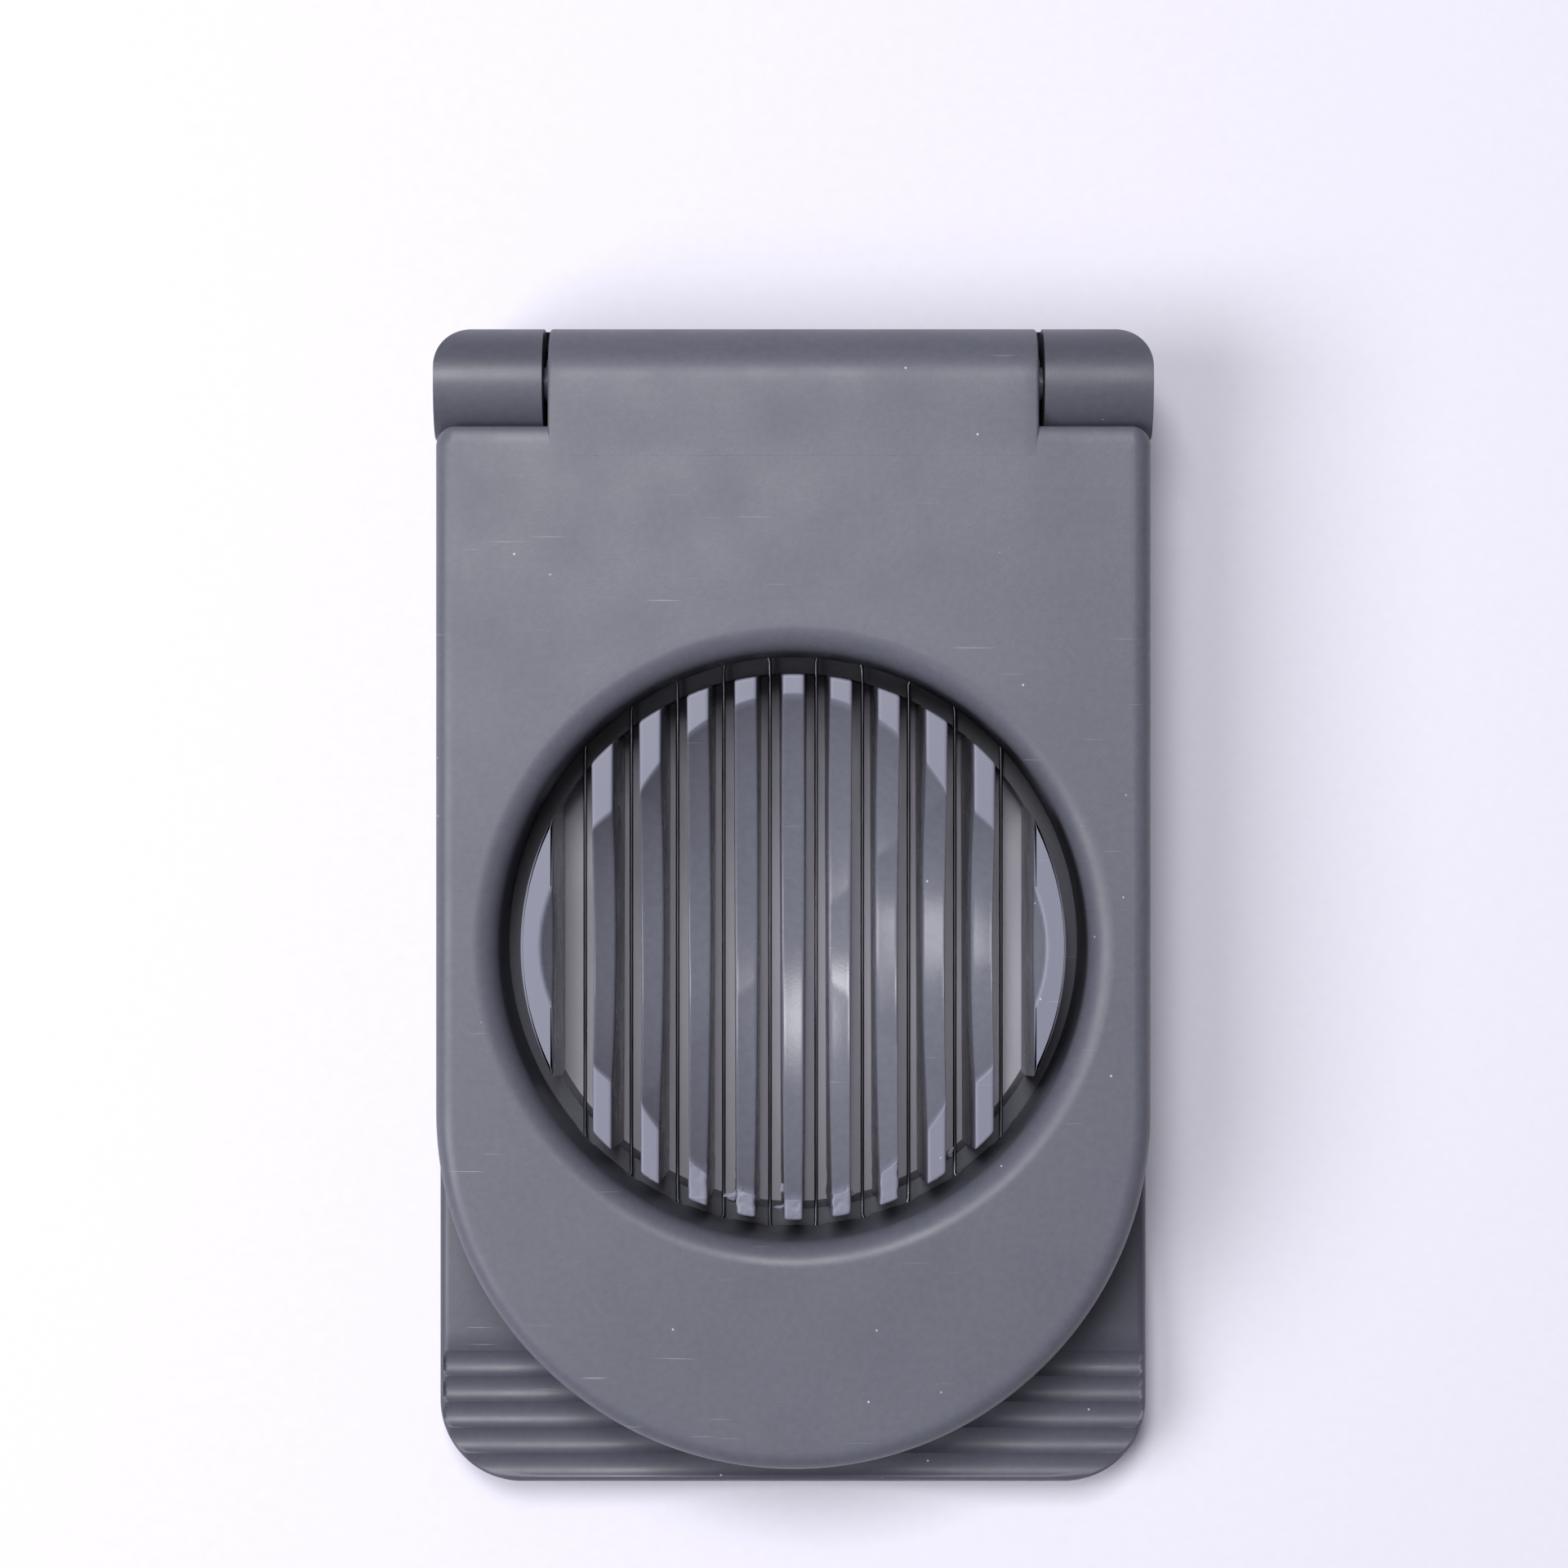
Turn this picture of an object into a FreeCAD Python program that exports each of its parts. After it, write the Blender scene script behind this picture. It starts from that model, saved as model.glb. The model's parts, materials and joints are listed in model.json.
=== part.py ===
import FreeCAD, Part
import math
import os
from FreeCAD import Vector

# Egg slicer: a low moulded base whose round cradle of upright bars holds the egg, and a hinged lid
# that carries ten taut steel wires down between those bars.
#
# Frame, in millimetres: the origin is the middle of the underside, +X to the right, +Y towards the
# hinge, +Z up.  The lid is drawn closed.

# ---------------------------------------------------------------- driving dimensions
# Base moulding
base_length = 139.0
base_width = 86.0
deck_height = 9.0
wall = 2.0
front_corner_radius = 10.0
rear_corner_radius = 5.0
deck_edge_radius = 1.2

# Grip: concave grooves across the front of the deck
groove_count = 5
groove_pitch = 3.12
groove_depth = 0.6
groove_edge_margin = 0.5
grip_front_margin = 0.5

# Hinge at the rear corners
knuckle_radius = 6.5
knuckle_crown_rise = 0.2
knuckle_length = 13.1
knuckle_side_draft = 0.8
hinge_side_gap = 0.7
hinge_sweep_clearance = 0.5
stud_radius = 2.0
stud_engagement = 3.2
stud_running_clearance = 0.08
stud_end_clearance = 0.4
stud_boss_radius = 3.0
stud_boss_height = 0.35

# Cradle of bars
cradle_centre_y = -3.6
cradle_side_taper = 0.6
bar_count = 9
bar_pitch = 5.6
bar_rear_width = 2.6
bar_front_width = 2.1
bar_side_draft_deg = 1.0
bar_underside = 2.0
side_slot_extra = 0.2
side_rest_thickness = 3.8

# Egg hollow: the shape left by an egg lying along Y and by one lying along X
hollow_width = 45.6
hollow_depth = 12.5
hollow_end_land = 2.3

# Lid moulding
lid_top = 26.0
lid_side_setback = 0.95
lid_front_setback = 4.4
lid_edge_radius = 1.9
lid_shoulder_corner_radius = 2.3
lid_deck_clearance = 0.3
hole_clearance = 2.7
hole_roll_radius = 3.0
hole_wall_draft = 0.2
lid_inner_corner_radius = 0.5
barrel_web = 2.0

# Cutting wires and their anchor pegs
wire_diameter = 0.45
wire_height = 10.5
wire_notch_clearance = 0.85
wire_seat_clearance = 0.04
peg_radius = 1.2
peg_wall_gap = 0.65
peg_single_offset = 0.9
peg_head_radius = 1.75
peg_head_height = 0.45
own_peg_turn_deg = 300.0
ledge_thickness = 1.6
ledge_gap_above_wire = 0.35
ledge_rim = 2.2

# Lacing of one wire: the strands hooked on each peg, numbered from 0 at the outermost
front_lacing = ([0, 1], [2, 3], [4])
rear_lacing = ([0], [1, 2], [3, 4])

# How far a cutting shape runs past the face it cuts through
overrun = 1.0

# Two places nearer than this are the same place
touching = 0.01

# ---------------------------------------------------------------- sizes worked out from them
half_length = base_length / 2
half_width = base_width / 2
skirt_top = deck_height - wall

axis_y = half_length - knuckle_radius
knuckle_crown_height = lid_top + knuckle_crown_rise
axis_z = knuckle_crown_height - knuckle_radius
knuckle_front_y = axis_y - knuckle_radius
knuckle_inner_x = half_width - knuckle_side_draft / 2 - knuckle_length
barrel_half_length = knuckle_inner_x - hinge_side_gap
sweep_radius = knuckle_radius + hinge_sweep_clearance
lid_rear_wall_y = axis_y - sweep_radius
shoulder_y = axis_y - math.sqrt(sweep_radius ** 2 - (lid_top - axis_z) ** 2)

side_rest_inner_x = (bar_count + 1) / 2 * bar_pitch + side_slot_extra
cradle_rim_radius = side_rest_inner_x + side_rest_thickness
cradle_foot_radius = cradle_rim_radius + cradle_side_taper
cradle_rim_height = lid_top

hollow_radius = (hollow_width ** 2 / 4 + hollow_depth ** 2) / (2 * hollow_depth)
hollow_axis_z = cradle_rim_height + hollow_radius - hollow_depth
hollow_rim_half_length = cradle_rim_radius - hollow_end_land
hollow_half_length = hollow_rim_half_length * hollow_radius / (hollow_width / 2)

lid_half_width = half_width - lid_side_setback
lid_front_y = -half_length + lid_front_setback
lid_bottom = deck_height + lid_deck_clearance
plate_underside = lid_top - wall
hole_lip_radius = cradle_rim_radius + hole_clearance
hole_roll_z = lid_top - hole_roll_radius
hole_plate_radius = hole_lip_radius + hole_roll_radius
hole_foot_radius = hole_lip_radius - hole_wall_draft

wire_radius = wire_diameter / 2
wire_count = bar_count + 1
wire_bend_radius = hole_foot_radius
peg_circle_radius = hole_foot_radius + wall + peg_wall_gap + peg_radius
notch_top = wire_height + wire_radius + wire_seat_clearance
ledge_underside = notch_top + ledge_gap_above_wire
loop_radius = peg_radius + wire_radius + wire_seat_clearance
peg_bottom = wire_height - wire_radius - wire_seat_clearance - peg_head_height

UP = Vector(0, 0, 1)
ALONG_X = Vector(1, 0, 0)

nodes = {}


# ---------------------------------------------------------------- small building blocks
def block(x0, x1, y0, y1, z0, z1):
    """A box between two opposite corners."""
    return Part.makeBox(x1 - x0, y1 - y0, z1 - z0, Vector(x0, y0, z0))


def rod_x(x0, x1, y, z, radius):
    """A round rod along X."""
    return Part.makeCylinder(radius, x1 - x0, Vector(x0, y, z), ALONG_X)


def rod_z(x, y, z0, z1, radius):
    """A round rod along Z."""
    return Part.makeCylinder(radius, z1 - z0, Vector(x, y, z0), UP)


def rounded_outline(corners, z):
    """A closed flat wire at height z through corners (x, y, radius), each corner rounded."""
    ends = []
    for i, (x, y, radius) in enumerate(corners):
        here = Vector(x, y, z)
        before = Vector(corners[i - 1][0], corners[i - 1][1], z) - here
        after = Vector(corners[(i + 1) % len(corners)][0], corners[(i + 1) % len(corners)][1], z) - here
        before.normalize()
        after.normalize()
        half_angle = before.getAngle(after) / 2
        inward = before + after
        inward.normalize()
        start = here + before * (radius / math.tan(half_angle))
        finish = here + after * (radius / math.tan(half_angle))
        middle = here + inward * (radius / math.sin(half_angle) - radius)
        ends.append((start, middle, finish, radius))
    edges = []
    for i, (start, middle, finish, radius) in enumerate(ends):
        if radius > 0:
            edges.append(Part.Arc(start, middle, finish).toShape())
        next_start = ends[(i + 1) % len(ends)][0]
        if finish.distanceToPoint(next_start) > touching:
            edges.append(Part.LineSegment(finish, next_start).toShape())
    return Part.Wire(edges)


def prism(corners, z0, z1):
    """A rounded outline drawn up from z0 to z1."""
    return Part.Face(rounded_outline(corners, z0)).extrude(Vector(0, 0, z1 - z0))


def drawn_along_x(edges, x0, x1):
    """A profile drawn in the plane x = 0, drawn from x0 to x1."""
    face = Part.Face(Part.Wire(edges))
    face.translate(Vector(x0, 0, 0))
    return face.extrude(Vector(x1 - x0, 0, 0))


def turned(points_and_arcs, centre_y):
    """A profile of (radius, z) edges turned about the vertical through (0, centre_y)."""
    face = Part.Face(Part.Wire(points_and_arcs))
    face.translate(Vector(0, centre_y, 0))
    return face.revolve(Vector(0, centre_y, 0), UP, 360)


def line_xz(a, b):
    """A straight edge in the plane y = 0 between (radius, z) points."""
    return Part.LineSegment(Vector(a[0], 0, a[1]), Vector(b[0], 0, b[1])).toShape()


def line_yz(a, b):
    """A straight edge in the plane x = 0 between (y, z) points."""
    return Part.LineSegment(Vector(0, a[0], a[1]), Vector(0, b[0], b[1])).toShape()


def arc_yz(centre_y, centre_z, radius, start_deg, end_deg):
    """An arc in the plane x = 0, its angles counted from +Y towards +Z."""
    points = []
    for angle in (start_deg, (start_deg + end_deg) / 2, end_deg):
        turn = math.radians(angle)
        points.append(Vector(0, centre_y + radius * math.cos(turn), centre_z + radius * math.sin(turn)))
    return Part.Arc(*points).toShape()


def round_edges(shape, radius, wanted):
    """Fillet the edges whose middle point satisfies wanted."""
    chosen = []
    for edge in shape.Edges:
        middle = edge.valueAt((edge.FirstParameter + edge.LastParameter) / 2)
        if wanted(middle):
            chosen.append(edge)
    return shape.makeFillet(radius, chosen)


def mirrored_x(shape):
    """The same shape on the other side of the plane x = 0."""
    return shape.mirror(Vector(0, 0, 0), ALONG_X)


# ---------------------------------------------------------------- base moulding
def base_corners(inset):
    """Corners of the base's plan, taken in by inset."""
    x = half_width - inset
    y = half_length - inset
    front = front_corner_radius - inset
    rear = rear_corner_radius - inset
    return [(-x, -y, front), (x, -y, front), (x, y, rear), (-x, y, rear)]


def base_skirt():
    """The wall round the underside that the slicer stands on."""
    outer = prism(base_corners(0), 0, skirt_top)
    return outer.cut(prism(base_corners(wall), -overrun, skirt_top + overrun))


def knuckle_footprint(z0, z1):
    """The two rear corners that the hinge knuckles stand in."""
    right = block(knuckle_inner_x, half_width + overrun, knuckle_front_y, half_length + overrun, z0, z1)
    return right.fuse(mirrored_x(right))


def base_deck():
    """The flat deck, open for the cradle, with the grip grooves across its front."""
    deck = prism(base_corners(0), skirt_top, deck_height)
    deck = round_edges(
        deck,
        deck_edge_radius,
        lambda p: abs(p.z - deck_height) < touching and p.y < half_length - touching,
    )
    below = skirt_top - overrun
    above = deck_height + overrun
    deck = deck.cut(rod_z(0, cradle_centre_y, below, above, cradle_foot_radius + wall))
    deck = deck.cut(knuckle_footprint(below, above))
    deck = deck.cut(block(-knuckle_inner_x, knuckle_inner_x, half_length - wall, half_length + overrun,
                          below, above))
    groove_radius = (groove_pitch ** 2 / 4 + groove_depth ** 2) / (2 * groove_depth)
    groove_x = half_width - groove_edge_margin
    for i in range(groove_count):
        y = -half_length + grip_front_margin + groove_pitch * (i + 0.5)
        z = deck_height + groove_radius - groove_depth
        deck = deck.cut(rod_x(-groove_x, groove_x, y, z, groove_radius))
    return deck


def cradle_ring():
    """The round wall under the deck that the bars' feet are joined to."""
    outer = rod_z(0, cradle_centre_y, 0, deck_height, cradle_foot_radius + wall)
    return outer.cut(rod_z(0, cradle_centre_y, -overrun, deck_height + overrun, cradle_foot_radius))


def rear_wall():
    """The wall between the knuckles, hollowed to clear the lid's hinge barrel."""
    body = block(-knuckle_inner_x, knuckle_inner_x, half_length - wall, half_length, skirt_top, axis_z)
    return body.cut(rod_x(-half_width, half_width, axis_y, axis_z, sweep_radius))


def hinge_knuckle():
    """The right-hand knuckle: a hollow round-topped post with a blind socket in its inner face."""
    bottom = skirt_top

    def post(inset, x0, x1, foot):
        """A round-topped post, its front, back and crown taken in by inset."""
        radius = knuckle_radius - inset
        return drawn_along_x(
            [
                line_yz((axis_y - radius, foot), (axis_y + radius, foot)),
                line_yz((axis_y + radius, foot), (axis_y + radius, axis_z)),
                arc_yz(axis_y, axis_z, radius, 0, 180),
                line_yz((axis_y - radius, axis_z), (axis_y - radius, foot)),
            ],
            x0,
            x1,
        )

    lower = rounded_outline(base_corners(0), bottom)
    upper_corners = []
    for x, y, radius in base_corners(0):
        upper_corners.append((math.copysign(half_width - knuckle_side_draft, x), y, radius))
    upper = rounded_outline(upper_corners, knuckle_crown_height + overrun)
    envelope = Part.makeLoft([lower, upper], True, True)
    solid = post(0, knuckle_inner_x, half_width + overrun, bottom).common(envelope)
    socket_depth = stud_engagement + stud_end_clearance
    cavity_x0 = knuckle_inner_x + socket_depth + wall / 2
    cavity_x1 = half_width - knuckle_side_draft - wall
    solid = solid.cut(post(wall, cavity_x0, cavity_x1, bottom - overrun))
    socket = rod_x(knuckle_inner_x - overrun, knuckle_inner_x + socket_depth, axis_y, axis_z,
                   stud_radius + stud_running_clearance)
    return solid.cut(socket)


# ---------------------------------------------------------------- cradle
def egg_hollow():
    """The space an egg takes up, lying either way: an oval turned about its own long axis."""
    ellipse = Part.Ellipse(Vector(0, 0, 0), hollow_half_length, hollow_radius)
    upper_half = Part.ArcOfEllipse(ellipse, 0, math.pi).toShape()
    left_end = Vector(-hollow_half_length, 0, 0)
    right_end = Vector(hollow_half_length, 0, 0)
    axis_edge = Part.LineSegment(left_end, right_end).toShape()
    across = Part.Face(Part.Wire([upper_half, axis_edge])).revolve(Vector(0, 0, 0), ALONG_X, 360)
    along = across.copy()
    along.rotate(Vector(0, 0, 0), UP, 90)
    place = Vector(0, cradle_centre_y, hollow_axis_z)
    across.translate(place)
    along.translate(place)
    return across, along


def cradle_envelope():
    """Everything inside the cradle's round outline, tapering towards the rim."""
    foot = rod_z(0, cradle_centre_y, bar_underside, deck_height, cradle_foot_radius)
    crown = Part.makeCone(cradle_foot_radius, cradle_rim_radius, cradle_rim_height - deck_height,
                          Vector(0, cradle_centre_y, deck_height), UP)
    return foot.fuse(crown).removeSplitter()


def bar_blank(x):
    """An upright plank along Y, thinner at its front end and at its top edge."""
    y_rear = cradle_centre_y + cradle_foot_radius + overrun
    y_front = cradle_centre_y - cradle_foot_radius - overrun
    draft = (cradle_rim_height - bar_underside) * math.tan(math.radians(bar_side_draft_deg))
    sections = []
    for y, width in ((y_front, bar_front_width), (y_rear, bar_rear_width)):
        top = width / 2
        foot = width / 2 + draft
        corners = [
            Vector(x - foot, y, bar_underside),
            Vector(x + foot, y, bar_underside),
            Vector(x + top, y, cradle_rim_height),
            Vector(x - top, y, cradle_rim_height),
        ]
        sections.append(Part.makePolygon(corners + corners[:1]))
    return Part.makeLoft(sections, True, True)


def cradle_pieces():
    """The nine bars and the two side rests, all hollowed by the same egg shape."""
    envelope = cradle_envelope()
    across, along = egg_hollow()
    pieces = {}
    for i in range(bar_count):
        x = (i - (bar_count - 1) / 2) * bar_pitch
        bar = bar_blank(x).common(envelope).cut(along).cut(across)
        pieces["cradle_bar_%d" % (i + 1)] = bar
    reach = cradle_foot_radius + overrun
    side = block(side_rest_inner_x, reach, cradle_centre_y - reach, cradle_centre_y + reach,
                 bar_underside, cradle_rim_height)
    right = side.common(envelope).cut(across)
    pieces["side_rest_right"] = right
    pieces["side_rest_left"] = mirrored_x(right)
    return pieces


# ---------------------------------------------------------------- lid moulding
def lid_corners(inset, rear_y, rear_radius):
    """Corners of the lid's plan: a full half circle at the front, square shoulders at the rear."""
    x = lid_half_width - inset
    front = lid_front_y + inset
    return [(-x, front, x), (x, front, x), (x, rear_y, rear_radius), (-x, rear_y, rear_radius)]


def hinge_sweep():
    """The room that the lid leaves round each knuckle, on both sides."""
    x0 = barrel_half_length
    x1 = lid_half_width + overrun
    round_part = rod_x(x0, x1, axis_y, axis_z, sweep_radius)
    below = block(x0, x1, lid_rear_wall_y, half_length + overrun, 0, axis_z)
    behind = block(x0, x1, axis_y, half_length + overrun, axis_z, lid_top + overrun)
    right = round_part.fuse(below).fuse(behind)
    return right.fuse(mirrored_x(right))


def lid_plate():
    """The top plate, with its outer edge rounded over and the hole left for the rolled lip."""
    plate = prism(lid_corners(0, shoulder_y, lid_shoulder_corner_radius), plate_underside, lid_top)
    plate = round_edges(
        plate,
        lid_edge_radius,
        lambda p: abs(p.z - lid_top) < touching and p.y < shoulder_y - touching,
    )
    below = plate_underside - overrun
    above = lid_top + overrun
    plate = plate.cut(rod_z(0, cradle_centre_y, below, above, hole_plate_radius))
    plate = plate.cut(block(-barrel_half_length, barrel_half_length, knuckle_front_y, half_length,
                            below, above))
    return plate.cut(hinge_sweep())


def lid_skirt():
    """The lid's outer wall: round the front, down both sides and across under each shoulder."""
    outer = prism(lid_corners(0, shoulder_y, lid_shoulder_corner_radius), lid_bottom, plate_underside)
    below = lid_bottom - overrun
    above = plate_underside + overrun
    inner = prism(lid_corners(wall, lid_rear_wall_y - wall, lid_inner_corner_radius), below, above)
    between = block(-barrel_half_length, barrel_half_length, lid_rear_wall_y - wall - overrun, half_length,
                    below, above)
    return outer.cut(inner).cut(between).cut(hinge_sweep())


def peg_places():
    """Each peg as (x, y, end sign, [strand numbers hooked on it]).

    Two laced wires, left and right, start at the front beside the middle; each then turns round
    one peg for every pair of its strands, at the rear and at the front in turn.
    """
    middle = wire_count // 2
    places = []
    for end, groups in ((-1, front_lacing), (1, rear_lacing)):
        for group in groups:
            for mirror in (1, -1):
                strands = []
                for strand in group:
                    strands.append(strand if mirror == 1 else 2 * middle - 1 - strand)
                x = sum(strand_x(s) for s in strands) / len(strands)
                if len(strands) == 1:
                    x += peg_single_offset * (1 if x > 0 else -1)
                y = cradle_centre_y + end * math.sqrt(peg_circle_radius ** 2 - x ** 2)
                places.append((x, y, end, sorted(strands)))
    return places


def strand_x(number):
    """Where the numbered strand crosses, counted from the left."""
    return (number - (wire_count - 1) / 2) * bar_pitch


def bend_y(x, end):
    """Where a strand at x meets the inside of the hole wall and turns towards its peg."""
    return cradle_centre_y + end * math.sqrt(wire_bend_radius ** 2 - x ** 2)


def lid_hole_wall():
    """The round wall of the hole, its top rolled over into the plate, notched for the wires."""
    lip = hole_lip_radius
    roll_x = hole_plate_radius
    diagonal = math.sqrt(0.5)
    inner_roll = Part.Arc(
        Vector(lip, 0, hole_roll_z),
        Vector(roll_x - hole_roll_radius * diagonal, 0, hole_roll_z + hole_roll_radius * diagonal),
        Vector(roll_x, 0, lid_top),
    ).toShape()
    under = hole_roll_radius - wall
    outer_roll = Part.Arc(
        Vector(roll_x, 0, plate_underside),
        Vector(roll_x - under * diagonal, 0, hole_roll_z + under * diagonal),
        Vector(lip + wall, 0, hole_roll_z),
    ).toShape()
    tube = turned(
        [
            inner_roll,
            line_xz((roll_x, lid_top), (roll_x, plate_underside)),
            outer_roll,
            line_xz((lip + wall, hole_roll_z), (hole_foot_radius + wall, lid_bottom)),
            line_xz((hole_foot_radius + wall, lid_bottom), (hole_foot_radius, lid_bottom)),
            line_xz((hole_foot_radius, lid_bottom), (lip, hole_roll_z)),
        ],
        cradle_centre_y,
    )
    for x, y, end, strands in peg_places():
        xs = [strand_x(s) for s in strands] + [x]
        y0, y1 = sorted((cradle_centre_y, y + end * peg_radius))
        tube = tube.cut(block(min(xs) - wire_notch_clearance, max(xs) + wire_notch_clearance,
                              y0, y1, lid_bottom - overrun, notch_top))
    return tube


def wire_ledge(end):
    """A curved ledge outside the hole wall, at the front or rear, with the pegs' roots in it."""
    outer = rod_z(0, cradle_centre_y, ledge_underside, ledge_underside + ledge_thickness,
                  peg_circle_radius + ledge_rim)
    slope = hole_wall_draft / (hole_roll_z - lid_bottom)
    under_radius = hole_foot_radius + wall + slope * (ledge_underside - lid_bottom)
    over_radius = under_radius + slope * ledge_thickness
    inner = Part.makeCone(under_radius, over_radius, ledge_thickness,
                          Vector(0, cradle_centre_y, ledge_underside), UP)
    half_span = strand_x(wire_count - 1) + ledge_rim
    y0, y1 = sorted((cradle_centre_y, cradle_centre_y + end * (peg_circle_radius + ledge_rim + overrun)))
    keep = block(-half_span, half_span, y0, y1, ledge_underside, ledge_underside + ledge_thickness)
    return outer.cut(inner).common(keep)


def wire_pegs(end):
    """The pegs at one end of the wires, each with a head that keeps the wire on."""
    pegs = []
    for x, y, peg_end, strands in peg_places():
        if peg_end == end:
            shank = rod_z(x, y, peg_bottom, ledge_underside, peg_radius)
            head = rod_z(x, y, peg_bottom, peg_bottom + peg_head_height, peg_head_radius)
            pegs.append(shank.fuse(head).removeSplitter())
    return Part.makeCompound(pegs)


def hinge_barrel():
    """The lid's rounded rear, open underneath, with a web at each end and one in the middle."""
    outer = knuckle_radius
    inner = knuckle_radius - wall
    front = knuckle_front_y
    hood = drawn_along_x(
        [
            line_yz((front, lid_top), (axis_y, axis_z + outer)),
            arc_yz(axis_y, axis_z, outer, 90, -90),
            line_yz((axis_y, axis_z - outer), (axis_y, axis_z - inner)),
            arc_yz(axis_y, axis_z, inner, -90, 90),
            line_yz((axis_y, axis_z + inner), (front, plate_underside)),
            line_yz((front, plate_underside), (front, lid_top)),
        ],
        -barrel_half_length,
        barrel_half_length,
    )
    barrel = hood
    for x0 in (-barrel_half_length, -barrel_web / 2, barrel_half_length - barrel_web):
        web = drawn_along_x(
            [
                line_yz((front, lid_top), (axis_y, axis_z + outer)),
                arc_yz(axis_y, axis_z, outer, 90, -180),
                line_yz((front, axis_z), (front, lid_top)),
            ],
            x0,
            x0 + barrel_web,
        )
        barrel = barrel.fuse(web)
    return barrel.removeSplitter()


def hinge_stud():
    """The right-hand stud on the barrel's end, with the low boss that spaces it off the knuckle."""
    x0 = barrel_half_length
    stud = rod_x(x0, knuckle_inner_x + stud_engagement, axis_y, axis_z, stud_radius)
    boss = rod_x(x0, x0 + stud_boss_height, axis_y, axis_z, stud_boss_radius)
    return stud.fuse(boss).removeSplitter()


# ---------------------------------------------------------------- cutting wires
def straight_wire(start, finish):
    """A straight length of wire between two points."""
    along = finish - start
    return Part.makeCylinder(wire_radius, along.Length, start, along)


def tail(x, end, peg_x, peg_y, shared):
    """One end of a strand: the short run to its peg and the turn round it.

    The run is the straight line from the bend that just touches the wire's circle round the peg.
    On a shared peg the turn stops behind the peg, where the next strand's turn meets it; on its
    own peg the wire goes most of the way round, and ends there.
    """
    bend = Vector(x, bend_y(x, end), wire_height)
    peg = Vector(peg_x, peg_y, wire_height)
    to_peg = peg - bend
    side = math.copysign(1, x - peg_x) * end
    reach = math.sqrt(to_peg.Length ** 2 - loop_radius ** 2)
    aim = math.atan2(to_peg.y, to_peg.x) - side * math.asin(loop_radius / to_peg.Length)
    touch = bend + Vector(math.cos(aim), math.sin(aim), 0) * reach
    run = straight_wire(bend, touch)
    run = run.fuse(Part.makeSphere(wire_radius, bend))
    touch_deg = math.degrees(math.atan2(touch.y - peg_y, touch.x - peg_x))
    back_deg = 90.0 * end
    sweep = side * (back_deg - touch_deg) % 360 if shared else own_peg_turn_deg
    start_deg = touch_deg if side > 0 else touch_deg - sweep
    turn = Part.makeTorus(loop_radius, wire_radius, Vector(0, 0, 0), UP, 0, 360, sweep)
    turn.rotate(Vector(0, 0, 0), UP, start_deg)
    turn.translate(peg)
    return run.fuse(turn)


def cutting_wire(number):
    """One strand of wire, from peg to peg."""
    x = strand_x(number)
    front = Vector(x, bend_y(x, -1), wire_height)
    rear = Vector(x, bend_y(x, 1), wire_height)
    strand = straight_wire(front, rear)
    for peg_x, peg_y, end, strands in peg_places():
        if number in strands:
            strand = strand.fuse(tail(x, end, peg_x, peg_y, len(strands) > 1))
    return strand


# ---------------------------------------------------------------- assembly
nodes["base_skirt"] = base_skirt()
nodes["base_deck"] = base_deck()
nodes["base_rear_wall"] = rear_wall()
nodes["cradle_ring"] = cradle_ring()
nodes["hinge_knuckle_right"] = hinge_knuckle()
nodes["hinge_knuckle_left"] = mirrored_x(nodes["hinge_knuckle_right"])
nodes.update(cradle_pieces())

nodes["lid_plate"] = lid_plate()
nodes["lid_skirt"] = lid_skirt()
nodes["lid_hole_wall"] = lid_hole_wall()
nodes["lid_hinge_barrel"] = hinge_barrel()
nodes["hinge_stud_right"] = hinge_stud()
nodes["hinge_stud_left"] = mirrored_x(nodes["hinge_stud_right"])
nodes["wire_ledge_front"] = wire_ledge(-1)
nodes["wire_ledge_rear"] = wire_ledge(1)
nodes["wire_pegs_front"] = wire_pegs(-1)
nodes["wire_pegs_rear"] = wire_pegs(1)
for number in range(wire_count):
    nodes["cutting_wire_%02d" % (number + 1)] = cutting_wire(number)

os.makedirs("parts", exist_ok=True)
for name, shape in nodes.items():
    shape.exportStep("parts/%s.step" % name)
    state = "valid" if shape.isValid() else "INVALID"
    print(name, len(shape.Solids), "solid(s)", round(shape.Volume, 1), "mm3", state)
print("hinge axis y", round(axis_y, 3), "z", round(axis_z, 3))
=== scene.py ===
import json
import math

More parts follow.
